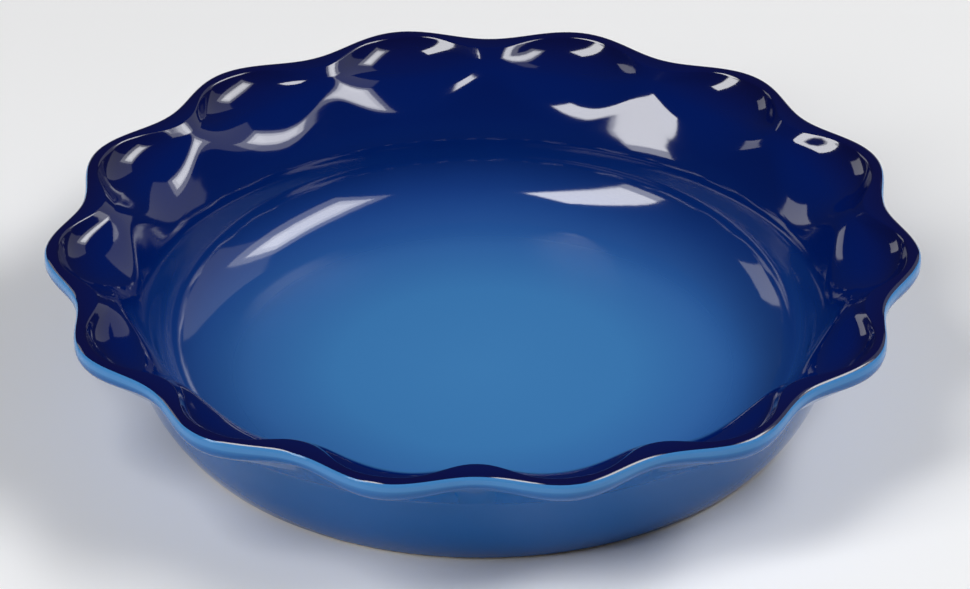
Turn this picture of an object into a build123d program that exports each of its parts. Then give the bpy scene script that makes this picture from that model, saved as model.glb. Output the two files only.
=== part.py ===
from build123d import *
import math
import os

import numpy as np

os.makedirs("parts", exist_ok=True)

# A round stoneware pie dish with a ruffled rim. It stands on z = 0 with its axis on Z.
# A lobe of the ruffle points along +X, and a valley between two lobes faces -Y.
# All lengths are millimetres, and all angles are degrees.

# The outside of the clay wall
foot_radius = 98.25
foot_slope = 48.0
belly_radius = 40.0
wall_slope = 69.0

# The floor, and the inside of the wall up to the shoulder, where it turns outwards. The
# well's corner lies inside the foot's radius by the well's inset.
floor_height = 6.0
well_inset = 1.95
well_round = 20.0
inner_slope = 75.5
shoulder_height = 28.4
shoulder_round = 20.0

# The bare foot and the recess inside it
foot_bevel = 1.6
glaze_line_height = 0.8
foot_ring_width = 8.0
recess_depth = 1.6
recess_bevel = 1.2

# The coats of glaze
glaze_thickness = 0.4
underside_glaze_margin = 0.6
glaze_break_share = 0.5

# The ruffled rim
lobe_count = 14
rim_height = 48.5
rim_outer_start_height = 24.0
rim_inner_start_height = 22.0
skirt_height = 28.7
skirt_round = 4.0
lobe_reach = 134.0
valley_reach = 126.8
lobe_lip_depth = 6.0
valley_lip_depth = 4.2
lobe_under_round = 5.0
valley_under_round = 3.0
lip_outer_round = 2.0
lobe_lip_width = 4.2
valley_lip_width = 6.9
lip_inner_round = 1.4

# The pocket inside each lobe. It lies under the lip, and its edge meets the wall's slope.
lobe_pocket_lean = 3.4
lobe_pocket_depth = 6.4
lobe_pocket_round = 12.0
lobe_pocket_width = 16.8
lobe_edge_depth = 8.6
lobe_edge_round = 21.0

# The same places in the middle of a valley
valley_pocket_lean = 3.3
valley_pocket_depth = 2.4
valley_pocket_round = 5.0
valley_pocket_width = 4.7
valley_edge_depth = 5.2
valley_edge_round = 16.0

# How much fuller than a plain wave the pockets are, and how sharply they end
pocket_fullness_share = 0.75
pocket_sharpness_share = 1.15

# How finely each patch of the rim is fitted: the degree of its curves up the section
# and around the dish
section_degree = 5
around_degree = 12

# The most of a side that its two rounds take, and the share of a sector over which the
# direction of the rim is measured
round_limit_share = 0.98
turn_step_share = 1e-4

full_turn = 360.0
sector_angle = full_turn / lobe_count
half_sector = sector_angle / 2


def direction(angle):
    """Unit vector in the section plane, from the angle above the outward horizontal."""
    return np.array([math.cos(math.radians(angle)), math.sin(math.radians(angle))])


def inward_normal(angle):
    """Unit vector square to a run that climbs at the angle, towards the axis."""
    return direction(angle + full_turn / 4)


def blend(valley_value, lobe_value, lobe_share):
    """Value between the one at a valley and the one at a lobe."""
    return valley_value + (lobe_value - valley_value) * lobe_share


# The outer wall climbs from the foot on the belly arc, and then straight to the rim.
foot_point = np.array([foot_radius, glaze_line_height])
belly_centre = foot_point + belly_radius * inward_normal(foot_slope)
belly_end = belly_centre - belly_radius * inward_normal(wall_slope)
wall_run = direction(wall_slope)

# The inner wall climbs from the well's round, which joins it to the floor.
well_corner = np.array([foot_radius - well_inset, floor_height])
inner_run = direction(inner_slope)
round_rise = well_round * (1 - math.cos(math.radians(inner_slope)))


def outer_wall(height):
    """Point of the straight outer wall at a height."""
    return belly_end + wall_run * (height - belly_end[1]) / wall_run[1]


def inner_wall(height):
    """Point of the straight inner wall at a height."""
    return well_corner + inner_run * (height - well_corner[1]) / inner_run[1]


well_round_top = inner_wall(floor_height + round_rise)
well_round_centre = well_round_top + well_round * inward_normal(inner_slope)


def rim_corners(lobe_share):
    """Corners of the rim's section, outside to inside, each with its rounding."""
    fuller = 1 + pocket_fullness_share * (1 - lobe_share)
    inner_share = lobe_share**pocket_sharpness_share * fuller
    reach = blend(valley_reach, lobe_reach, lobe_share)
    lip_depth = blend(valley_lip_depth, lobe_lip_depth, lobe_share)
    lip_inner = np.array(
        [
            blend(
                valley_reach - valley_lip_width, lobe_reach - lobe_lip_width, inner_share
            ),
            rim_height,
        ]
    )
    pocket_lean = blend(valley_pocket_lean, lobe_pocket_lean, inner_share)
    pocket_depth = blend(valley_pocket_depth, lobe_pocket_depth, inner_share)
    valley_edge_reach = (
        valley_reach - valley_lip_width - valley_pocket_lean - valley_pocket_width
    )
    lobe_edge_reach = lobe_reach - lobe_lip_width - lobe_pocket_lean - lobe_pocket_width
    edge_depth = blend(valley_edge_depth, lobe_edge_depth, lobe_share)
    edge = np.array(
        [blend(valley_edge_reach, lobe_edge_reach, lobe_share), rim_height - edge_depth]
    )
    return [
        (outer_wall(rim_outer_start_height), 0),
        (outer_wall(skirt_height), skirt_round),
        (
            np.array([reach, rim_height - lip_depth]),
            blend(valley_under_round, lobe_under_round, lobe_share),
        ),
        (np.array([reach, rim_height]), lip_outer_round),
        (lip_inner, lip_inner_round),
        (
            lip_inner - np.array([pocket_lean, pocket_depth]),
            blend(valley_pocket_round, lobe_pocket_round, lobe_share),
        ),
        (edge, blend(valley_edge_round, lobe_edge_round, lobe_share)),
        (inner_wall(shoulder_height), shoulder_round),
        (inner_wall(rim_inner_start_height), 0),
    ]


def unit(vector):
    """The vector at length 1."""
    return vector / np.linalg.norm(vector)


def rim_pieces(lobe_share):
    """Straight runs and rounds of the rim's section, in order.

    A straight run is its two ends. A round is its centre, radius, first angle and turn.
    Where two rounds want more than the side between them, both are made smaller.
    """
    corners = rim_corners(lobe_share)
    sides = [after[0] - before[0] for before, after in zip(corners, corners[1:])]
    turns = [0]
    for arriving, leaving in zip(sides, sides[1:]):
        cross = arriving[0] * leaving[1] - arriving[1] * leaving[0]
        turns.append(math.atan2(cross, float(arriving @ leaving)))
    turns.append(0)
    cuts = [
        rounding * math.tan(abs(turn) / 2)
        for (corner, rounding), turn in zip(corners, turns)
    ]
    fits = [
        min(1, round_limit_share * np.linalg.norm(side) / (first + last))
        for side, first, last in zip(sides, cuts, cuts[1:])
    ]
    pieces = []
    last_end = corners[0][0]
    for number in range(1, len(corners) - 1):
        corner, rounding = corners[number]
        fit = min(fits[number - 1], fits[number])
        arriving = unit(sides[number - 1])
        leaving = unit(sides[number])
        start = corner - arriving * cuts[number] * fit
        side = math.copysign(1, turns[number])
        radius = rounding * fit
        centre = start + side * radius * np.array([-arriving[1], arriving[0]])
        spoke = start - centre
        first_angle = math.atan2(spoke[1], spoke[0])
        pieces.append(("run", last_end, start))
        pieces.append(("round", centre, radius, first_angle, turns[number]))
        last_end = corner + leaving * cuts[number] * fit
    pieces.append(("run", last_end, corners[-1][0]))
    return pieces


def section_point(piece, share):
    """Point on a piece of the section and the direction of travel there."""
    if piece[0] == "run":
        start, end = piece[1:]
        return start + (end - start) * share, unit(end - start)
    centre, radius, first, turn = piece[1:]
    angle = first + turn * share
    spoke = np.array([math.cos(angle), math.sin(angle)])
    side = math.copysign(1, turn)
    return centre + radius * spoke, side * np.array([-spoke[1], spoke[0]])


def lobe_share_at(angle):
    """1 on the middle of a lobe and 0 in the middle of a valley."""
    return (1 + math.cos(math.radians(lobe_count * angle))) / 2


def rim_point(index, share, angle, inset):
    """Point of the rim's skin, moved into the clay by the inset."""
    point, travel = section_point(rim_pieces(lobe_share_at(angle))[index], share)
    step = sector_angle * turn_step_share
    ahead, behind = (
        section_point(rim_pieces(lobe_share_at(angle + move))[index], share)[0]
        for move in (step, -step)
    )
    slope = (ahead - behind) / (2 * math.radians(step))
    radius, height = point
    along = np.array([travel[0], 0, travel[1]])
    around = np.array([slope[0], radius, slope[1]])
    outward = unit(np.cross(around, along))
    local = np.array([radius, 0, height]) - inset * outward
    cosine = math.cos(math.radians(angle))
    sine = math.sin(math.radians(angle))
    return np.array(
        [
            local[0] * cosine - local[1] * sine,
            local[0] * sine + local[1] * cosine,
            local[2],
        ]
    )


def curve_shares(degree):
    """Places along a curve where it is fitted, closer together towards its ends."""
    return [(1 - math.cos(math.pi * i / degree)) / 2 for i in range(degree + 1)]


def curve_fit(degree):
    """Matrix that turns points on a curve into the control points of that curve."""
    weights = [
        [math.comb(degree, j) * u**j * (1 - u) ** (degree - j) for j in range(degree + 1)]
        for u in curve_shares(degree)
    ]
    return np.linalg.inv(np.array(weights))


section_fit = curve_fit(section_degree)
around_fit = curve_fit(around_degree)


def rim_net(index, first_share, last_share, inset):
    """Control points of one patch of the rim, from one valley to the next."""
    samples = np.array(
        [
            [
                rim_point(
                    index,
                    first_share + (last_share - first_share) * u,
                    sector_angle * v - half_sector,
                    inset,
                )
                for v in curve_shares(around_degree)
            ]
            for u in curve_shares(section_degree)
        ]
    )
    return np.einsum("ai,bj,ijk->abk", section_fit, around_fit, samples)


def patch(net):
    """Face with the given control points."""
    return Face.make_bezier_surface([[Vector(*point) for point in row] for row in net])


lip_outer_index = 5
last_index = len(rim_pieces(0)) - 1


def outer_nets(inset):
    """Patches of the rim from the outer wall up to the break between the two glazes."""
    nets = [rim_net(i, 0, 1, inset) for i in range(lip_outer_index)]
    return nets + [rim_net(lip_outer_index, 0, glaze_break_share, inset)]


def inner_nets(inset):
    """Patches of the rim from the break between the glazes down to the inner wall."""
    first = rim_net(lip_outer_index, glaze_break_share, 1, inset)
    rest = [rim_net(i, 0, 1, inset) for i in range(lip_outer_index + 1, last_index + 1)]
    return [first] + rest


def turned(edges):
    """Faces that edges in the section plane sweep over one sector."""
    return [
        Face.revolve(edge.rotate(Axis.Z, -half_sector), sector_angle, Axis.Z)
        for edge in edges
    ]


def place(point):
    """Point of the section plane as a point in space."""
    return Vector(float(point[0]), 0, float(point[1]))


def straight(*points):
    """Straight edges through points of the section plane."""
    return [Line(place(a), place(b)).edge() for a, b in zip(points, points[1:])]


def arc(centre, radius, first_slope, last_slope):
    """Edge of a round whose runs climb from the first slope to the last."""
    slopes = [first_slope, (first_slope + last_slope) / 2, last_slope]
    points = [centre - radius * inward_normal(slope) for slope in slopes]
    return ThreePointArc(*[place(point) for point in points]).edge()


def outer_edges(inset):
    """Section of the outer wall, from the glaze line to the rim."""
    radius = belly_radius - inset
    shift = inset * inward_normal(wall_slope)
    return [arc(belly_centre, radius, foot_slope, wall_slope)] + straight(
        belly_end + shift, outer_wall(rim_outer_start_height) + shift
    )


def inner_edges(inset):
    """Section of the inner wall, the well's round and the floor."""
    radius = well_round + inset
    shift = -inset * inward_normal(inner_slope)
    floor = floor_height - inset
    return (
        straight(inner_wall(rim_inner_start_height) + shift, well_round_top + shift)
        + [arc(well_round_centre, radius, 0, inner_slope)]
        + straight((well_round_centre[0], floor), (0, floor))
    )


def around_the_dish(faces):
    """Solid whose faces are those of one sector, repeated for every lobe."""
    copies = [
        face.rotate(Axis.Z, sector_angle * i) for i in range(lobe_count) for face in faces
    ]
    return Solid(Shell(copies))


outer_skin_nets = outer_nets(0)
inner_skin_nets = inner_nets(0)
outer_clay_nets = outer_nets(glaze_thickness)
inner_clay_nets = inner_nets(glaze_thickness)

# Both glazes end at the break in a narrow strip through their thickness.
break_strip = patch(np.array([inner_skin_nets[0][0], inner_clay_nets[0][0]]))

foot_ring_radius = foot_radius - foot_bevel
recess_radius = foot_ring_radius - foot_ring_width
recess_floor_radius = recess_radius - recess_bevel
clay_foot_point = foot_point + glaze_thickness * inward_normal(foot_slope)

foot_edges = straight(
    clay_foot_point,
    (foot_ring_radius, 0),
    (recess_radius, 0),
    (recess_floor_radius, recess_depth),
    (0, recess_depth),
)

stoneware_body = around_the_dish(
    [patch(net) for net in outer_clay_nets + inner_clay_nets]
    + turned(
        outer_edges(glaze_thickness) + inner_edges(glaze_thickness) + foot_edges
    )
)

inner_glaze = around_the_dish(
    [patch(net) for net in inner_skin_nets + inner_clay_nets]
    + [break_strip]
    + turned(inner_edges(0) + inner_edges(glaze_thickness))
)

outer_glaze = around_the_dish(
    [patch(net) for net in outer_skin_nets + outer_clay_nets]
    + [break_strip]
    + turned(
        outer_edges(0)
        + outer_edges(glaze_thickness)
        + straight(foot_point, clay_foot_point)
    )
)

underside_glaze = Pos(0, 0, recess_depth) * Cylinder(
    recess_floor_radius - underside_glaze_margin,
    glaze_thickness,
    align=(Align.CENTER, Align.CENTER, Align.MAX),
)

export_step(stoneware_body, "parts/stoneware_body.step")
export_step(inner_glaze, "parts/inner_glaze.step")
export_step(outer_glaze, "parts/outer_glaze.step")
export_step(underside_glaze, "parts/underside_glaze.step")
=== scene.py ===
"""Looks of the glazed stoneware pie dish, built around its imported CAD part.

Lengths are metres. Angles are degrees where a name says so, and radians elsewhere.
"""

import logging
import math
from dataclasses import astuple, dataclass
from enum import Enum

import bmesh
import bpy
from mathutils import Matrix, Vector

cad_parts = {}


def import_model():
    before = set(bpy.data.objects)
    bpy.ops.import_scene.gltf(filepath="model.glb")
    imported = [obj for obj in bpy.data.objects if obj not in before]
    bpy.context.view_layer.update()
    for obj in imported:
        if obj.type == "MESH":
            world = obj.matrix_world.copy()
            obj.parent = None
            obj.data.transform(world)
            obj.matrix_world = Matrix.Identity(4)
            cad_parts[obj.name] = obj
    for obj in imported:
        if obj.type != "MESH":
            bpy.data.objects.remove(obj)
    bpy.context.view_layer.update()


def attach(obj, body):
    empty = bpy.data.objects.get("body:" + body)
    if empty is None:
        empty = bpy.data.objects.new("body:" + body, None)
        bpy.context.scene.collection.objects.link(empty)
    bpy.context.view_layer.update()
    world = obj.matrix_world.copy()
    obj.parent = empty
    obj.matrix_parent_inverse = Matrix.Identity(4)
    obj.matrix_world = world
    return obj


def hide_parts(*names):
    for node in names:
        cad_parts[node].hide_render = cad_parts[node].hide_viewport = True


MM = 0.001
FULL_TURN = 2 * math.pi
WIDEST_STEP_DEGREES = 9

log = logging.getLogger("pie_dish")


def heading(degrees: float) -> Vector:
    """Unit vector in the section plane, from the angle above the outward horizontal."""
    angle = math.radians(degrees)
    return Vector((math.cos(angle), math.sin(angle)))


def inward(degrees: float) -> Vector:
    """Unit vector square to a run that climbs at the angle, towards the axis."""
    return heading(degrees + 90)


@dataclass(frozen=True)
class Run:
    """A straight run of the section."""

    start: Vector
    end: Vector

    def at(self, share: float) -> tuple[Vector, Vector]:
        """Place on the run.

        Args:
            share: 0 at its start and 1 at its end.

        Returns:
            The point, and the unit vector along the run.
        """
        return self.start.lerp(self.end, share), (self.end - self.start).normalized()

    def length(self) -> float:
        """Length of the run."""
        return (self.end - self.start).length

    def steps(self, step_length: float) -> int:
        """Number of equal steps, none longer than the step length."""
        return max(2, math.ceil(self.length() / step_length))


@dataclass(frozen=True)
class Round:
    """A round of the section, from its first spoke through its turn."""

    centre: Vector
    radius: float
    first: float
    turn: float

    def at(self, share: float) -> tuple[Vector, Vector]:
        """Place on the round.

        Args:
            share: 0 at its start and 1 at its end.

        Returns:
            The point, and the unit vector along the round.
        """
        angle = self.first + self.turn * share
        spoke = Vector((math.cos(angle), math.sin(angle)))
        along = Vector((-spoke.y, spoke.x)) * math.copysign(1, self.turn)
        return self.centre + spoke * self.radius, along

    def length(self) -> float:
        """Length of the round."""
        return self.radius * abs(self.turn)

    def steps(self, step_length: float) -> int:
        """Number of equal steps, each within the step length and the widest turn."""
        by_turn = math.ceil(abs(self.turn) / math.radians(WIDEST_STEP_DEGREES))
        return max(4, by_turn, math.ceil(self.length() / step_length))


def rounded(corners: list[tuple[Vector, float]], limit: float) -> list[Run | Round]:
    """Joins corners by straight runs and rounds each of them.

    Args:
        corners: each corner with its rounding radius. The first and last stay sharp.
        limit: largest share of a side that the rounds at its two ends may take.

    Returns:
        Runs and rounds in turn, with a run at both ends.
    """
    sides = [(b[0] - a[0]) for a, b in zip(corners, corners[1:])]
    turns = [0.0]
    for arriving, leaving in zip(sides, sides[1:]):
        cross = arriving.x * leaving.y - arriving.y * leaving.x
        turns.append(math.atan2(cross, arriving.dot(leaving)))
    turns.append(0.0)
    cuts = [
        radius * math.tan(abs(turn) / 2) for (_, radius), turn in zip(corners, turns)
    ]
    fits = [
        min(1, limit * side.length / (first + last))
        for side, first, last in zip(sides, cuts, cuts[1:])
    ]
    pieces: list[Run | Round] = []
    last_end = corners[0][0]
    for number, (corner, radius) in enumerate(corners[1:-1], start=1):
        fit = min(fits[number - 1], fits[number])
        arriving, leaving = sides[number - 1].normalized(), sides[number].normalized()
        start = corner - arriving * (cuts[number] * fit)
        square = Vector((-arriving.y, arriving.x)) * math.copysign(1, turns[number])
        centre = start + square * (radius * fit)
        spoke = start - centre
        first = math.atan2(spoke.y, spoke.x)
        pieces.append(Run(last_end, start))
        pieces.append(Round(centre, radius * fit, first, turns[number]))
        last_end = corner + leaving * (cuts[number] * fit)
    pieces.append(Run(last_end, corners[-1][0]))
    return pieces


@dataclass(frozen=True)
class RimSizes:
    """Sizes of the rim's section in the middle of a lobe or of a valley.

    The pocket lies just inside the lip. Its edge is where it meets the wall's slope.
    """

    reach: float
    lip_depth: float
    under_round: float
    lip_width: float
    lip_inner_round: float
    pocket_lean: float
    pocket_depth: float
    pocket_round: float
    pocket_width: float
    edge_depth: float
    edge_round: float

    def blended(self, other: "RimSizes", share: float) -> "RimSizes":
        """Sizes between these and others.

        Args:
            other: sizes at a share of 1.
            share: 0 for these sizes and 1 for the others.

        Returns:
            The sizes between them.
        """
        pairs = zip(astuple(self), astuple(other))
        return RimSizes(*(first + (last - first) * share for first, last in pairs))

    def lip_inner(self, top: float) -> Vector:
        """Inner edge of the lip, at the rim's height."""
        return Vector((self.reach - self.lip_width, top))

    def pocket(self, top: float) -> Vector:
        """Deepest corner of the pocket."""
        return self.lip_inner(top) - Vector((self.pocket_lean, self.pocket_depth))

    def edge(self, top: float) -> Vector:
        """Corner where the pocket meets the wall's slope."""
        across = self.pocket_lean + self.pocket_width
        return self.lip_inner(top) - Vector((across, self.edge_depth))


@dataclass(frozen=True)
class DishShape:
    """Sizes of the dish and the section that they give at any angle around it.

    The section runs from the glaze line near the foot up the outer wall, over the lip,
    down the inner wall and along the floor to the axis.
    """

    foot_radius: float = 98.25 * MM
    foot_slope_degrees: float = 48
    belly_radius: float = 40 * MM
    wall_slope_degrees: float = 69
    floor_height: float = 6 * MM
    well_radius: float = 96.3 * MM
    well_round: float = 20 * MM
    inner_slope_degrees: float = 75.5
    shoulder_height: float = 28.4 * MM
    shoulder_round: float = 20 * MM

    foot_bevel: float = 1.6 * MM
    glaze_line_height: float = 0.8 * MM
    foot_ring_width: float = 8 * MM
    recess_depth: float = 1.6 * MM
    recess_bevel: float = 1.2 * MM

    glaze_thickness: float = 0.4 * MM
    glaze_break_share: float = 0.5
    underside_glaze_margin: float = 0.6 * MM

    lobe_count: int = 14
    rim_height: float = 48.5 * MM
    rim_outer_start_height: float = 24 * MM
    rim_inner_start_height: float = 22 * MM
    skirt_height: float = 28.7 * MM
    skirt_round: float = 4 * MM
    lip_outer_round: float = 2 * MM
    pocket_fullness_share: float = 0.75
    pocket_sharpness_share: float = 1.15
    round_limit: float = 0.98
    lobe: RimSizes = RimSizes(
        reach=134 * MM,
        lip_depth=6 * MM,
        under_round=5 * MM,
        lip_width=4.2 * MM,
        lip_inner_round=1.4 * MM,
        pocket_lean=3.4 * MM,
        pocket_depth=6.4 * MM,
        pocket_round=12 * MM,
        pocket_width=16.8 * MM,
        edge_depth=8.6 * MM,
        edge_round=21 * MM,
    )
    valley: RimSizes = RimSizes(
        reach=126.8 * MM,
        lip_depth=4.2 * MM,
        under_round=3 * MM,
        lip_width=6.9 * MM,
        lip_inner_round=1.4 * MM,
        pocket_lean=3.3 * MM,
        pocket_depth=2.4 * MM,
        pocket_round=5 * MM,
        pocket_width=4.7 * MM,
        edge_depth=5.2 * MM,
        edge_round=16 * MM,
    )

    lip_piece: int = 7

    def foot_point(self) -> Vector:
        """Point of the outer wall on the glaze line."""
        return Vector((self.foot_radius, self.glaze_line_height))

    def belly_centre(self) -> Vector:
        """Centre of the arc that the outer wall starts on."""
        return self.foot_point() + inward(self.foot_slope_degrees) * self.belly_radius

    def belly_end(self) -> Vector:
        """Point where that arc runs into the straight outer wall."""
        return self.belly_centre() - inward(self.wall_slope_degrees) * self.belly_radius

    def outer_wall(self, height: float) -> Vector:
        """Point of the straight outer wall at a height."""
        run = heading(self.wall_slope_degrees)
        end = self.belly_end()
        return end + run * ((height - end.y) / run.y)

    def inner_wall(self, height: float) -> Vector:
        """Point of the straight inner wall at a height."""
        run = heading(self.inner_slope_degrees)
        corner = Vector((self.well_radius, self.floor_height))
        return corner + run * ((height - corner.y) / run.y)

    def rim_corners(self, lobe_share: float) -> list[tuple[Vector, float]]:
        """Corners of the rim's section, outside to inside, each with its rounding.

        Args:
            lobe_share: 1 on the middle of a lobe and 0 in the middle of a valley.

        Returns:
            The corners and roundings.
        """
        top = self.rim_height
        lip = self.valley.blended(self.lobe, lobe_share)
        fuller = 1 + self.pocket_fullness_share * (1 - lobe_share)
        inner = self.valley.blended(
            self.lobe, lobe_share**self.pocket_sharpness_share * fuller
        )
        edge = self.valley.edge(top).lerp(self.lobe.edge(top), lobe_share)
        return [
            (self.outer_wall(self.rim_outer_start_height), 0),
            (self.outer_wall(self.skirt_height), self.skirt_round),
            (Vector((lip.reach, top - lip.lip_depth)), lip.under_round),
            (Vector((lip.reach, top)), self.lip_outer_round),
            (inner.lip_inner(top), lip.lip_inner_round),
            (inner.pocket(top), lip.pocket_round),
            (edge, lip.edge_round),
            (self.inner_wall(self.shoulder_height), self.shoulder_round),
            (self.inner_wall(self.rim_inner_start_height), 0),
        ]

    def section(self, lobe_share: float) -> list[Run | Round]:
        """Runs and rounds of the glazed skin, from the glaze line to the axis.

        Args:
            lobe_share: 1 on the middle of a lobe and 0 in the middle of a valley.

        Returns:
            The runs and rounds in order.
        """
        rim = rounded(self.rim_corners(lobe_share), self.round_limit)
        wall_angle = math.radians(self.wall_slope_degrees)
        foot_angle = math.radians(self.foot_slope_degrees)
        inner_angle = math.radians(self.inner_slope_degrees)
        rise = self.well_round * (1 - math.cos(inner_angle))
        well_top = self.inner_wall(self.floor_height + rise)
        well_centre = well_top + inward(self.inner_slope_degrees) * self.well_round
        quarter = math.pi / 2
        return (
            [
                Round(
                    self.belly_centre(),
                    self.belly_radius,
                    foot_angle - quarter,
                    wall_angle - foot_angle,
                ),
                Run(self.belly_end(), self.outer_wall(self.rim_outer_start_height)),
            ]
            + rim
            + [
                Run(self.inner_wall(self.rim_inner_start_height), well_top),
                Round(
                    well_centre, self.well_round, inner_angle - quarter, -inner_angle
                ),
                Run(
                    Vector((well_centre.x, self.floor_height)),
                    Vector((0, self.floor_height)),
                ),
            ]
        )

    def lobe_share(self, angle: float) -> float:
        """1 on the middle of a lobe and 0 in the middle of a valley."""
        return (1 + math.cos(self.lobe_count * angle)) / 2

    def break_place(self) -> float:
        """Place in the section where the inner and the outer glaze meet."""
        return self.lip_piece + self.glaze_break_share


class Skin:
    """The dish's skin as a function of a place in the section and an angle."""

    SLOPE_STEP = 1e-4
    LEAST_RADIUS = 1e-9
    SECTION_KEYS = 1e9

    def __init__(self, shape: DishShape) -> None:
        """Starts with no section worked out.

        Args:
            shape: sizes of the dish.
        """
        self.shape = shape
        self._sections: dict[int, list[Run | Round]] = {}
        self._points: dict[tuple[float, float, int], Vector] = {}

    def section(self, angle: float) -> list[Run | Round]:
        """Runs and rounds at an angle, worked out once for each angle."""
        key = round(self.shape.lobe_share(angle) * self.SECTION_KEYS)
        if key not in self._sections:
            self._sections[key] = self.shape.section(self.shape.lobe_share(angle))
        return self._sections[key]

    def flat_point(self, place: float, angle: float) -> tuple[Vector, Vector]:
        """Point of the section plane and the way along it.

        Args:
            place: number of the piece plus the share of it.
            angle: angle around the dish, from +X.

        Returns:
            The point and the unit vector.
        """
        pieces = self.section(angle)
        index = min(int(place), len(pieces) - 1)
        return pieces[index].at(place - index)

    def point(self, place: float, angle: float, inset: float) -> Vector:
        """Point of the skin in space, or of the surface under it.

        Args:
            place: number of the piece plus the share of it.
            angle: angle around the dish, from +X.
            inset: depth under the skin, square to it.

        Returns:
            The point.
        """
        flat, along = self.flat_point(place, angle)
        ahead = self.flat_point(place, angle + self.SLOPE_STEP)[0]
        behind = self.flat_point(place, angle - self.SLOPE_STEP)[0]
        slope = (ahead - behind) / (2 * self.SLOPE_STEP)
        around = Vector((slope.x, max(flat.x, self.LEAST_RADIUS), slope.y))
        outward = around.cross(Vector((along.x, 0, along.y))).normalized()
        local = Vector((flat.x, 0, flat.y)) - outward * inset
        return Matrix.Rotation(angle, 3, "Z") @ local

    def sector_point(
        self, place: float, inset: float, step: int, steps_per_lobe: int
    ) -> Vector:
        """Point of the skin at one of a lobe's equal steps, worked out once for each.

        Args:
            place: number of the piece plus the share of it.
            inset: depth under the skin, square to it.
            step: number of the step around the dish.
            steps_per_lobe: steps from one lobe to the next.

        Returns:
            The point.
        """
        turn = FULL_TURN / (steps_per_lobe * self.shape.lobe_count)
        lobe, rest = divmod(step, steps_per_lobe)
        key = (place, inset, rest)
        if key not in self._points:
            self._points[key] = self.point(place, rest * turn, inset)
        return Matrix.Rotation(lobe * steps_per_lobe * turn, 3, "Z") @ self._points[key]

    def places(self, first: float, last: float, step_length: float) -> list[float]:
        """Places along the section, closer together on the rounds.

        Args:
            first: place of the first one.
            last: place of the last one.
            step_length: longest step between two of them.

        Returns:
            The places, both ends among them.
        """
        valley, lobe = self.shape.section(0), self.shape.section(1)
        found = [first]
        for index, pair in enumerate(zip(valley, lobe)):
            count = max(piece.steps(step_length) for piece in pair)
            for step in range(count):
                place = index + step / count
                if first < place < last:
                    found.append(place)
        return found + [last]


@dataclass(frozen=True)
class SectionPoint:
    """One vertex of a section that is about to be spun.

    Its place and inset say where on the skin it lies. A point with no place keeps the
    radius and height that it starts with.
    """

    radius: float
    height: float
    place: float = -1
    inset: float = 0


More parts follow.
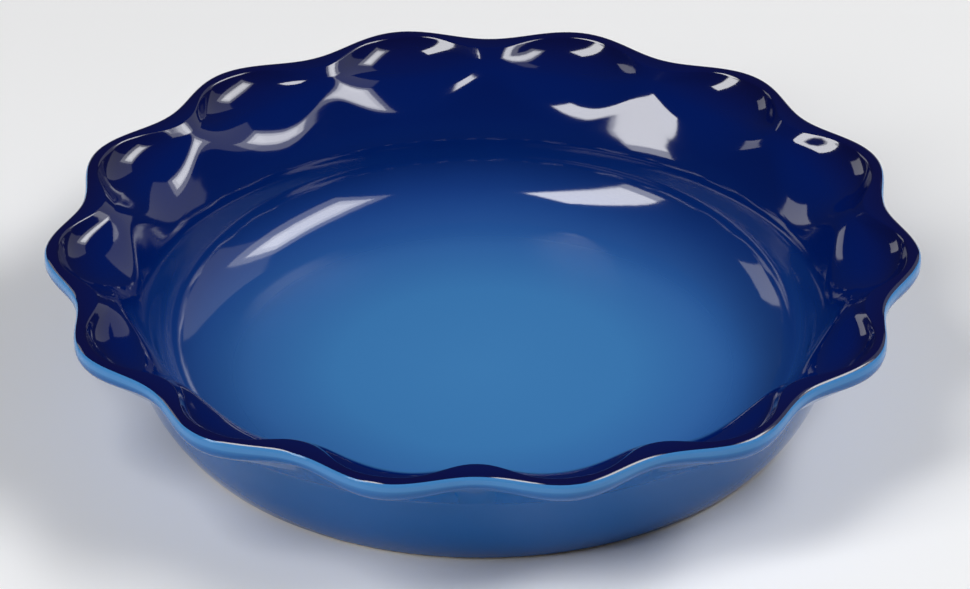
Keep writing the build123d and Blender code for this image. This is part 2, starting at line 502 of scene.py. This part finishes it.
class SpunPiece:
    """A piece that is spun from a section and then follows the ruffle of the rim."""

    STEPS_PER_LOBE = 28
    STEP_LENGTH = 2.6 * MM
    MERGE_DISTANCE = 1e-6
    SHARP_DEGREES = 34

    def __init__(self, name: str, skin: Skin) -> None:
        """Starts an empty mesh.

        Args:
            name: name of the finished object.
            skin: skin of the dish.
        """
        self.name = name
        self.skin = skin
        self.mesh = bmesh.new()
        self.place_layer = self.mesh.verts.layers.float.new("place")
        self.inset_layer = self.mesh.verts.layers.float.new("inset")
        self.reach_layer = self.mesh.verts.layers.float.new("reach")

    def skin_points(
        self, places: list[float], inset: float = 0
    ) -> list[SectionPoint]:
        """Section points on the skin, or under it.

        Args:
            places: places along the section.
            inset: depth under the skin.

        Returns:
            One section point for each place.
        """
        found = []
        for place in places:
            point = self.skin.point(place, 0, inset)
            found.append(SectionPoint(max(point.x, 0), point.z, place, inset))
        return found

    def spin(self, points: list[SectionPoint]) -> None:
        """Spins a section once round the axis and moves it onto the ruffled skin.

        Args:
            points: the section in order. It closes on itself, apart from an edge on
                the axis, which is left out.
        """
        made = []
        for point in points:
            vert = self.mesh.verts.new((point.radius, 0, point.height))
            vert[self.place_layer] = point.place
            vert[self.inset_layer] = point.inset
            made.append(vert)
        for a, b in zip(made, made[1:] + made[:1]):
            if a.co.x > self.MERGE_DISTANCE or b.co.x > self.MERGE_DISTANCE:
                self.mesh.edges.new((a, b))
        steps = self.STEPS_PER_LOBE * self.skin.shape.lobe_count
        bmesh.ops.spin(
            self.mesh,
            geom=self.mesh.verts[:] + self.mesh.edges[:],
            cent=(0, 0, 0),
            axis=(0, 0, 1),
            angle=FULL_TURN,
            steps=steps,
            use_merge=True,
            use_duplicate=False,
        )
        bmesh.ops.remove_doubles(
            self.mesh, verts=self.mesh.verts[:], dist=self.MERGE_DISTANCE
        )
        turn = FULL_TURN / steps
        for vert in self.mesh.verts:
            place = vert[self.place_layer]
            if place < 0 or vert.co.xy.length < self.MERGE_DISTANCE:
                continue
            step = round(math.atan2(vert.co.y, vert.co.x) / turn) % steps
            vert.co = self.skin.sector_point(
                place, vert[self.inset_layer], step, self.STEPS_PER_LOBE
            )

    def measure_reach(self) -> None:
        """Stores each vertex's distance from the axis along the section."""
        steps = self.STEPS_PER_LOBE * self.skin.shape.lobe_count
        turn = FULL_TURN / steps
        lengths: dict[int, list[float]] = {}
        for vert in self.mesh.verts:
            place = vert[self.place_layer]
            if place < 0:
                continue
            step = round(math.atan2(vert.co.y, vert.co.x) / turn) % self.STEPS_PER_LOBE
            pieces = self.skin.section(step * turn)
            if step not in lengths:
                total, behind = 0.0, []
                for piece in reversed(pieces):
                    behind.append(total)
                    total += piece.length()
                lengths[step] = behind[::-1]
            index = min(int(place), len(pieces) - 1)
            rest = (1 - (place - index)) * pieces[index].length()
            vert[self.reach_layer] = lengths[step][index] + rest

    def finish(self) -> bpy.types.Object:
        """Turns the mesh's faces outwards, smooths them and makes the object.

        Returns:
            The object, in the scene.
        """
        bmesh.ops.recalc_face_normals(self.mesh, faces=self.mesh.faces[:])
        for face in self.mesh.faces:
            face.smooth = True
        limit = math.radians(self.SHARP_DEGREES)
        for edge in self.mesh.edges:
            if len(edge.link_faces) == 2 and edge.calc_face_angle() > limit:
                edge.smooth = False
        data = bpy.data.meshes.new(self.name)
        self.mesh.to_mesh(data)
        self.mesh.free()
        made = bpy.data.objects.new(self.name, data)
        bpy.context.scene.collection.objects.link(made)
        return made


class Wire:
    """A socket of a material's nodes. Sums on it add Math nodes."""

    def __init__(self, recipe: "Recipe", socket: bpy.types.NodeSocket) -> None:
        """Wraps a socket.

        Args:
            recipe: the material that the socket is in.
            socket: an output socket.
        """
        self.recipe = recipe
        self.socket = socket

    def _maths(self, operation: str, *values: "Wire | float") -> "Wire":
        """A Math node on values, as a new wire."""
        return self.recipe.node(
            "ShaderNodeMath",
            {"operation": operation},
            {i: value for i, value in enumerate(values)},
        )["Value"]

    def __add__(self, other: "Wire | float") -> "Wire":
        """Sum."""
        return self._maths("ADD", self, other)

    def __radd__(self, other: float) -> "Wire":
        """Sum, with the number first."""
        return self._maths("ADD", other, self)

    def __sub__(self, other: "Wire | float") -> "Wire":
        """Difference."""
        return self._maths("SUBTRACT", self, other)

    def __rsub__(self, other: float) -> "Wire":
        """Difference, with the number first."""
        return self._maths("SUBTRACT", other, self)

    def __mul__(self, other: "Wire | float") -> "Wire":
        """Product."""
        return self._maths("MULTIPLY", self, other)

    def __rmul__(self, other: float) -> "Wire":
        """Product, with the number first."""
        return self._maths("MULTIPLY", other, self)

    def __truediv__(self, other: "Wire | float") -> "Wire":
        """Quotient."""
        return self._maths("DIVIDE", self, other)

    def ramp(self, low: float, high: float, smooth: bool = True) -> "Wire":
        """The value's rise from a low one to a high one.

        Args:
            low: value that gives 0.
            high: value that gives 1.
            smooth: whether the rise starts and ends softly.

        Returns:
            The rise, from 0 to 1.
        """
        return self.recipe.node(
            "ShaderNodeMapRange",
            {
                "clamp": True,
                "interpolation_type": "SMOOTHSTEP" if smooth else "LINEAR",
            },
            {"Value": self, "From Min": low, "From Max": high},
        )["Result"]


class Recipe:
    """A material whose nodes are added as its finish asks for them."""

    def __init__(self, name: str) -> None:
        """Starts a material with only its output.

        Args:
            name: name of the material.
        """
        self.material = bpy.data.materials.new(name)
        self.material.use_nodes = True
        self.tree = self.material.node_tree
        self.tree.nodes.clear()

    def node(
        self, kind: str, settings: dict | None = None, values: dict | None = None
    ) -> dict[str, Wire]:
        """Adds a node.

        Args:
            kind: the node's type.
            settings: its settings, which are set before its sockets.
            values: numbers, colours or wires for its input sockets, by name or number.

        Returns:
            Its output sockets as wires, by name.
        """
        made = self.tree.nodes.new(kind)
        for key, value in (settings or {}).items():
            if key == "stops":
                self._set_stops(made.color_ramp, value)
            else:
                setattr(made, key, value)
        for key, value in (values or {}).items():
            socket = made.inputs[key]
            if isinstance(value, Wire):
                self.tree.links.new(value.socket, socket)
            elif isinstance(value, tuple) and len(value) == 3 and socket.type == "RGBA":
                socket.default_value = (*value, 1)
            else:
                socket.default_value = value
        return {out.name: Wire(self, out) for out in made.outputs if out.enabled}

    @staticmethod
    def _set_stops(
        ramp: bpy.types.ColorRamp, stops: list[tuple[float, tuple[float, ...]]]
    ) -> None:
        """Gives a colour ramp its stops."""
        while len(ramp.elements) < len(stops):
            ramp.elements.new(1)
        for element, (position, colour) in zip(ramp.elements, stops):
            element.position = position
            element.color = (*colour, 1)

    def attribute(self, name: str) -> Wire:
        """A number that the mesh holds at its vertices."""
        return self.node("ShaderNodeAttribute", {"attribute_name": name})["Fac"]

    def position(self) -> Wire:
        """Place on the piece, in its own coordinates."""
        return self.node("ShaderNodeTexCoord")["Object"]

    def noise(self, size: float, detail: float) -> Wire:
        """Soft noise fixed to the piece.

        Args:
            size: length of one of its waves, in metres.
            detail: number of finer layers.

        Returns:
            The noise, around 0.5.
        """
        return self.node(
            "ShaderNodeTexNoise",
            {},
            {"Vector": self.position(), "Scale": 1 / size, "Detail": detail},
        )["Fac"]

    def gradient(
        self, value: Wire, stops: list[tuple[float, tuple[float, float, float]]]
    ) -> Wire:
        """Colour that changes smoothly with a value.

        Args:
            value: the value.
            stops: values and the colours there.

        Returns:
            The colour.
        """
        low, high = stops[0][0], stops[-1][0]
        placed = [((at - low) / (high - low), colour) for at, colour in stops]
        return self.node(
            "ShaderNodeValToRGB",
            {"stops": placed},
            {"Fac": value.ramp(low, high, smooth=False)},
        )["Color"]

    def mix(self, share: Wire | float, a: Wire | tuple, b: Wire | tuple) -> Wire:
        """Mixes two colours.

        Args:
            share: 0 for the first and 1 for the second.
            a: the first colour.
            b: the second colour.

        Returns:
            The mixed colour.
        """
        return self.node(
            "ShaderNodeMix",
            {"data_type": "RGBA"},
            {"Factor": share, "A": a, "B": b},
        )["Result"]

    def bump(self, height: Wire, distance: float, normal: Wire | None = None) -> Wire:
        """Relief too fine for the mesh.

        Args:
            height: the relief, from 0 to 1.
            distance: height of 1, in metres.
            normal: relief that this one is added to.

        Returns:
            The normal.
        """
        values = {"Height": height, "Distance": distance, "Strength": 1.0}
        if normal is not None:
            values["Normal"] = normal
        return self.node("ShaderNodeBump", {}, values)["Normal"]

    def surface(self, values: dict) -> bpy.types.Material:
        """Closes the material with one shader.

        Args:
            values: the shader's sockets.

        Returns:
            The finished material.
        """
        shader = self.node("ShaderNodeBsdfPrincipled", {}, values)["BSDF"]
        self.node("ShaderNodeOutputMaterial", {}, {"Surface": shader})
        return self.material


def paint(red: int, green: int, blue: int) -> tuple[float, float, float]:
    """Colour for a shader from the three numbers of a screen colour, 0 to 255."""

    def linear(number: int) -> float:
        share = number / 255
        return share / 12.92 if share <= 0.04045 else ((share + 0.055) / 1.055) ** 2.4

    return linear(red), linear(green), linear(blue)


@dataclass(frozen=True)
class GlossFinish:
    """Gloss of a fired glaze, with the faint waves and smudges in it."""

    roughness: float = 0.06
    refraction: float = 1.7
    wave_size: float = 7 * MM
    wave_height: float = 0.02 * MM
    peel_size: float = 1.6 * MM
    peel_height: float = 0.0012 * MM
    smudge_size: float = 28 * MM
    smudge_roughness: float = 0.02

    def relief(self, recipe: Recipe) -> Wire:
        """Waves of the glaze as a normal."""
        waves = recipe.bump(recipe.noise(self.wave_size, detail=1), self.wave_height)
        return recipe.bump(recipe.noise(self.peel_size, detail=2), self.peel_height, waves)

    def values(
        self, recipe: Recipe, colour: Wire | tuple, dull: Wire | None = None
    ) -> dict:
        """Sockets of the shader.

        Args:
            recipe: the material.
            colour: colour of the glaze.
            dull: roughness where it changes over the piece.

        Returns:
            The sockets.
        """
        smudge = recipe.noise(self.smudge_size, detail=3) * self.smudge_roughness
        return {
            "Base Color": colour,
            "Roughness": smudge + (self.roughness if dull is None else dull),
            "IOR": self.refraction,
            "Normal": self.relief(recipe),
        }


@dataclass(frozen=True)
class InnerGlazeFinish:
    """Glaze of the inside: mid blue and duller on the floor, and navy at the rim."""

    gloss: GlossFinish = GlossFinish()
    stops: tuple = (
        (0.0, paint(61, 128, 188)),
        (0.045, paint(57, 123, 184)),
        (0.070, paint(47, 103, 169)),
        (0.086, paint(36, 80, 148)),
        (0.097, paint(22, 60, 130)),
        (0.108, paint(4, 40, 110)),
        (0.120, paint(0, 28, 96)),
        (0.134, paint(0, 23, 90)),
        (0.150, paint(10, 14, 66)),
    )
    spray_size: float = 24 * MM
    spray_spread: float = 3 * MM
    dull_roughness: float = 0.3
    dull_within: float = 70 * MM
    gloss_beyond: float = 88 * MM

    def material(self) -> bpy.types.Material:
        """The finished material."""
        recipe = Recipe("inner_glaze")
        reach = recipe.attribute("reach")
        spray = (recipe.noise(self.spray_size, detail=3) - 0.5) * self.spray_spread
        colour = recipe.gradient(reach + spray, list(self.stops))
        dull = (1 - reach.ramp(self.dull_within, self.gloss_beyond)) * self.dull_roughness
        return recipe.surface(
            self.gloss.values(recipe, colour, dull + self.gloss.roughness)
        )


@dataclass(frozen=True)
class OuterGlazeFinish:
    """Mid blue glaze of the outside, lighter over the lip: thin glaze plus painted
    highlight.
    """

    gloss: GlossFinish = GlossFinish(refraction=1.38)
    wall: tuple = paint(8, 92, 162)
    low: tuple = paint(6, 84, 152)
    # Lip colour: the light blue of thin glaze, made lighter still as a painted highlight.
    lip: tuple = paint(70, 135, 196)
    cloud_size: float = 30 * MM
    cloud_spread: float = 4 * MM
    wall_height: float = 28 * MM
    lip_first_place: float = 5.6
    lip_last_place: float = 6.4

    def material(self) -> bpy.types.Material:
        """The finished material."""
        recipe = Recipe("outer_glaze")
        height = recipe.node(
            "ShaderNodeSeparateXYZ", {}, {"Vector": recipe.position()}
        )["Z"]
        cloud = (recipe.noise(self.cloud_size, detail=3) - 0.5) * self.cloud_spread
        rise = (height + cloud).ramp(0, self.wall_height)
        wall = recipe.mix(rise, self.low, self.wall)
        # The lip band's lighter colour is partly real thin glaze and partly a painted
        # highlight.
        lip = recipe.attribute("place").ramp(self.lip_first_place, self.lip_last_place)
        colour = recipe.mix(lip, wall, self.lip)
        return recipe.surface(self.gloss.values(recipe, colour))


@dataclass(frozen=True)
class BareClayFinish:
    """Unglazed fired stoneware, cream with fine specks."""

    cream: tuple = paint(214, 198, 172)
    shade: tuple = paint(190, 170, 142)
    speck: tuple = paint(120, 96, 74)
    roughness: float = 0.72
    cloud_roughness: float = 0.16
    cloud_size: float = 9 * MM
    cloud_range: tuple = (0.35, 0.7)
    speck_size: float = 1.1 * MM
    speck_range: tuple = (0.66, 0.74)
    speck_strength: float = 0.6
    grain_size: float = 0.5 * MM
    grain_height: float = 0.06 * MM

    def material(self) -> bpy.types.Material:
        """The finished material."""
        recipe = Recipe("bare_clay")
        cloud = recipe.noise(self.cloud_size, detail=4)
        colour = recipe.mix(cloud.ramp(*self.cloud_range), self.cream, self.shade)
        specks = recipe.noise(self.speck_size, detail=2).ramp(*self.speck_range)
        colour = recipe.mix(specks * self.speck_strength, colour, self.speck)
        grain = recipe.noise(self.grain_size, detail=3)
        return recipe.surface(
            {
                "Base Color": colour,
                "Roughness": self.roughness + cloud * self.cloud_roughness,
                "Normal": recipe.bump(grain, self.grain_height),
            }
        )


class Slot(Enum):
    """Material slots of the part's record."""

    BARE_CLAY = "bare_clay"
    INNER_GLAZE = "inner_glaze"
    OUTER_GLAZE = "outer_glaze"
    UNDERSIDE_GLAZE = "underside_glaze"


def settle(
    piece: bpy.types.Object, material: bpy.types.Material, node: str
) -> bpy.types.Object:
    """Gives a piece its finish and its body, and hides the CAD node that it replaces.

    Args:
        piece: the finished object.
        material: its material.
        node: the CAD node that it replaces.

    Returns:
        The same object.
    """
    piece.data.materials.append(material)
    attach(piece, "root")
    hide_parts(node)
    triangles = sum(len(face.vertices) - 2 for face in piece.data.polygons)
    log.info("%s: %d triangles, stands for %s", piece.name, triangles, node)
    return piece


@dataclass(frozen=True)
class Body:
    """The fired clay: floor, wall, ruffled rim and the bare foot ring under it."""

    skin: Skin
    foot_edge_round: float = 0.35 * MM
    foot_edge_segments: int = 3

    def build(self) -> bpy.types.Object:
        """Makes the clay.

        Returns:
            The object.
        """
        shape = self.skin.shape
        piece = SpunPiece("clay_body", self.skin)
        last = len(shape.section(0))
        places = self.skin.places(0, last, piece.STEP_LENGTH)
        skin = piece.skin_points(places, shape.glaze_thickness)
        ring = shape.foot_radius - shape.foot_bevel
        recess = ring - shape.foot_ring_width
        recess_floor = recess - shape.recess_bevel
        foot = [
            SectionPoint(0, shape.recess_depth),
            SectionPoint(recess_floor / 2, shape.recess_depth),
            SectionPoint(recess_floor, shape.recess_depth),
            SectionPoint(recess, 0),
            SectionPoint(ring, 0),
        ]
        piece.spin(skin + foot)
        self.soften_foot(piece.mesh, [recess_floor, recess, ring])
        return settle(
            piece.finish(), BareClayFinish().material(), "stoneware_body"
        )

    def soften_foot(self, mesh: bmesh.types.BMesh, radii: list[float]) -> None:
        """Rounds the edges of the foot ring a little.

        Args:
            mesh: mesh of the clay.
            radii: radii of the circles of edges to round.
        """
        reach = self.skin.shape.recess_depth + self.skin.shape.glaze_thickness
        edges = [
            edge
            for edge in mesh.edges
            if all(
                vert.co.z < reach
                and any(abs(vert.co.xy.length - r) < self.foot_edge_round for r in radii)
                for vert in edge.verts
            )
            and abs(edge.verts[0].co.xy.length - edge.verts[1].co.xy.length)
            < self.foot_edge_round / 10
        ]
        bmesh.ops.bevel(
            mesh,
            geom=edges,
            offset=self.foot_edge_round,
            segments=self.foot_edge_segments,
            affect="EDGES",
            profile=0.5,
            material=-1,
        )


@dataclass(frozen=True)
class InsideGlaze:
    """The coat of glaze on the floor, the inner wall, the pockets and the lip's top."""

    skin: Skin

    def build(self) -> bpy.types.Object:
        """Makes the coat.

        Returns:
            The object.
        """
        shape = self.skin.shape
        piece = SpunPiece("inside_glaze", self.skin)
        last = len(shape.section(0))
        places = self.skin.places(shape.break_place(), last, piece.STEP_LENGTH)
        top = piece.skin_points(places)
        under = piece.skin_points(places[::-1], shape.glaze_thickness)
        piece.spin(top + under)
        piece.measure_reach()
        return settle(
            piece.finish(), InnerGlazeFinish().material(), "inner_glaze"
        )


@dataclass(frozen=True)
class OutsideGlaze:
    """The coat of glaze on the outer wall and the outside of the lip."""

    skin: Skin

    def build(self) -> bpy.types.Object:
        """Makes the coat.

        Returns:
            The object.
        """
        shape = self.skin.shape
        piece = SpunPiece("outside_glaze", self.skin)
        places = self.skin.places(0, shape.break_place(), piece.STEP_LENGTH)
        top = piece.skin_points(places)
        under = piece.skin_points(places[::-1], shape.glaze_thickness)
        piece.spin(top + under)
        return settle(
            piece.finish(), OuterGlazeFinish().material(), "outer_glaze"
        )


@dataclass(frozen=True)
class UndersideGlaze:
    """The disc of glaze in the recess inside the foot ring."""

    skin: Skin
    segments: int = 196
    edge_segments: int = 3
    edge_round_share: float = 0.8

    def build(self) -> bpy.types.Object:
        """Makes the disc.

        Returns:
            The object.
        """
        shape = self.skin.shape
        radius = (
            shape.foot_radius
            - shape.foot_bevel
            - shape.foot_ring_width
            - shape.recess_bevel
            - shape.underside_glaze_margin
        )
        piece = SpunPiece("underside_coat", self.skin)
        mesh = piece.mesh
        bmesh.ops.create_circle(
            mesh,
            cap_ends=True,
            radius=radius,
            segments=self.segments,
            matrix=Matrix.Translation((0, 0, shape.recess_depth)),
        )
        rise = bmesh.ops.extrude_face_region(mesh, geom=mesh.faces[:])
        lower = [item for item in rise["geom"] if isinstance(item, bmesh.types.BMVert)]
        bmesh.ops.translate(mesh, verts=lower, vec=(0, 0, -shape.glaze_thickness))
        rim = [
            edge
            for edge in mesh.edges
            if all(vert in lower for vert in edge.verts) and len(edge.link_faces) == 2
        ]
        bmesh.ops.bevel(
            mesh,
            geom=rim,
            offset=shape.glaze_thickness * self.edge_round_share,
            segments=self.edge_segments,
            affect="EDGES",
            profile=0.5,
            material=-1,
        )
        return settle(
            piece.finish(),
            OuterGlazeFinish().material(),
            "underside_glaze",
        )


def towards(azimuth_degrees: float, elevation_degrees: float) -> Vector:
    """Unit vector away from the dish.

    Args:
        azimuth_degrees: 0 towards the front, -Y, and 90 towards +X.
        elevation_degrees: angle above the horizon.

    Returns:
        The vector.
    """
    azimuth, elevation = math.radians(azimuth_degrees), math.radians(elevation_degrees)
    return Vector(
        (
            math.sin(azimuth) * math.cos(elevation),
            -math.cos(azimuth) * math.cos(elevation),
            math.sin(elevation),
        )
    )


@dataclass(frozen=True)
class PhotoCamera:
    """The camera, where the photograph was taken from."""

    azimuth_degrees: float = 0.934
    elevation_degrees: float = 32.156
    roll_degrees: float = -0.208
    distance: float = 4.117
    lens: float = 499.28
    sensor: float = 36
    aim: Vector = Vector((0.0007, 0, 0.0327))

    def place(self) -> None:
        """Makes the camera and gives it to the scene."""
        data = bpy.data.cameras.new("photo_camera")
        data.lens, data.sensor_width = self.lens, self.sensor
        camera = bpy.data.objects.new("photo_camera", data)
        bpy.context.scene.collection.objects.link(camera)
        back = towards(self.azimuth_degrees, self.elevation_degrees)
        turn = back.to_track_quat("Z", "Y").to_matrix()
        roll = Matrix.Rotation(math.radians(self.roll_degrees), 3, "Z")
        camera.matrix_world = Matrix.LocRotScale(
            self.aim + back * self.distance, (turn @ roll).to_quaternion(), None
        )
        bpy.context.scene.camera = camera


@dataclass(frozen=True)
class Softbox:
    """A rectangular lamp that faces the dish."""

    name: str
    azimuth_degrees: float
    elevation_degrees: float
    width: float
    height: float
    brightness: float
    roll_degrees: float = 0.0
    distance: float = 2.0

    def hang(self) -> None:
        """Makes the lamp."""
        data = bpy.data.lights.new(self.name, "AREA")
        data.shape = "RECTANGLE"
        data.size, data.size_y = self.width, self.height
        data.energy = self.brightness * math.pi * self.width * self.height
        lamp = bpy.data.objects.new(self.name, data)
        bpy.context.scene.collection.objects.link(lamp)
        out = towards(self.azimuth_degrees, self.elevation_degrees)
        turn = out.to_track_quat("Z", "Y").to_matrix()
        roll = Matrix.Rotation(math.radians(self.roll_degrees), 3, "Z")
        lamp.matrix_world = Matrix.LocRotScale(
            out * self.distance, (turn @ roll).to_quaternion(), None
        )


@dataclass(frozen=True)
class Studio:
    """Pale floor, dim surroundings and soft lamps."""

    floor_radius: float = 3.0
    floor_segments: int = 96
    floor_drop: float = 0.02 * MM
    floor_roughness: float = 0.9
    floor_colour: tuple = (0.94, 0.94, 0.945)
    surroundings: float = 0.02
    softboxes: tuple = (
        Softbox("left_softbox", -52, 46, 0.56, 1.65, 5, -12),
        Softbox("left_softbox_glow", -52, 42, 0.6, 2.05, 3.3, -12),
        Softbox("right_softbox", 87, 51, 1.2, 0.3, 6.2),
        Softbox("right_softbox_glow", 87, 51, 1.5, 0.5, 4.4),
        Softbox("right_softbox_halo", 87, 49, 1.85, 0.9, 1.5),
        Softbox("right_wall", 125, 32, 1.6, 1.5, 0.4),
        Softbox("left_wall", -122, 20, 0.7, 0.7, 1.3),
    )

    def set_up(self) -> None:
        """Makes the floor, the lamps and the surroundings."""
        mesh = bmesh.new()
        bmesh.ops.create_circle(
            mesh,
            cap_ends=True,
            radius=self.floor_radius,
            segments=self.floor_segments,
            matrix=Matrix.Translation((0, 0, -self.floor_drop)),
        )
        data = bpy.data.meshes.new("studio_floor")
        mesh.to_mesh(data)
        mesh.free()
        floor = bpy.data.objects.new("studio_floor", data)
        bpy.context.scene.collection.objects.link(floor)
        recipe = Recipe("studio_floor")
        data.materials.append(
            recipe.surface(
                {"Base Color": self.floor_colour, "Roughness": self.floor_roughness}
            )
        )
        for softbox in self.softboxes:
            softbox.hang()
        world = bpy.data.worlds.new("studio")
        world.use_nodes = True
        background = world.node_tree.nodes["Background"]
        background.inputs["Color"].default_value = (1, 1, 1, 1)
        background.inputs["Strength"].default_value = self.surroundings
        bpy.context.scene.world = world
        bpy.context.scene.view_settings.view_transform = "Standard"


def main() -> None:
    """Builds the studio and the dish."""
    logging.basicConfig(level=logging.INFO, format="%(name)s: %(message)s")
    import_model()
    PhotoCamera().place()
    Studio().set_up()
    skin = Skin(DishShape())
    for kind in (Body, InsideGlaze, OutsideGlaze, UndersideGlaze):
        kind(skin).build()


if __name__ == "__main__":
    main()
